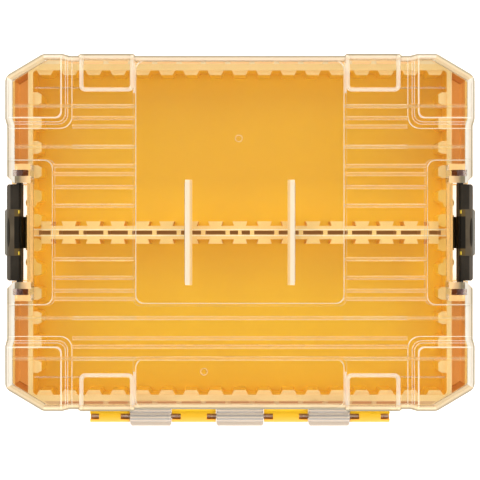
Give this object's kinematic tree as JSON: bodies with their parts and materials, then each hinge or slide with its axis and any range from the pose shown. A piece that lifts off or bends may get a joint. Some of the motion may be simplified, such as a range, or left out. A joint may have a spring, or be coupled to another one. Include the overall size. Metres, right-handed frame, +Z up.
{
  "type": "drill bit case",
  "caption": "Flat hinged case for drill and driver bits: a moulded tray with notched walls and a middle rail under a clear lid, shut by a latch at each short end.",
  "frame": {"origin": "on the surface that the case lies on, under the middle of the closed case", "axes": "+X towards the right-hand latch, +Y away from the hinge, +Z up"},
  "size_m": [0.2376, 0.1884, 0.05],
  "materials": {
    "tray_plastic": "moulded, satin",
    "rail_plastic": "moulded, satin",
    "clear_plastic": "clear, gloss",
    "pin_steel": "drawn wire",
    "latch_plastic": "moulded, fine texture"
  },
  "bodies": {
    "base": {"base_tray": "tray_plastic", "centre_divider": "rail_plastic", "hinge_pin": "pin_steel"},
    "lid": {"lid": "clear_plastic"},
    "latch_left": {"latch_left": "latch_plastic"},
    "latch_right": {"latch_right": "latch_plastic"}
  },
  "joints": [
    {"name": "lid_hinge", "type": "hinge", "parent": "base", "child": "lid", "pos_m": [0, -0.0892, 0.026], "axis": [1, 0, 0], "range_deg": [0, 180]},
    {"name": "latch_left_pivot", "type": "hinge", "parent": "lid", "child": "latch_left", "pos_m": [-0.1113, 0.0047, 0.039], "axis": [0, 1, 0], "range_deg": [0, 90]},
    {"name": "latch_right_pivot", "type": "hinge", "parent": "lid", "child": "latch_right", "pos_m": [0.1113, 0.0047, 0.039], "axis": [0, -1, 0], "range_deg": [0, 90]}
  ]
}
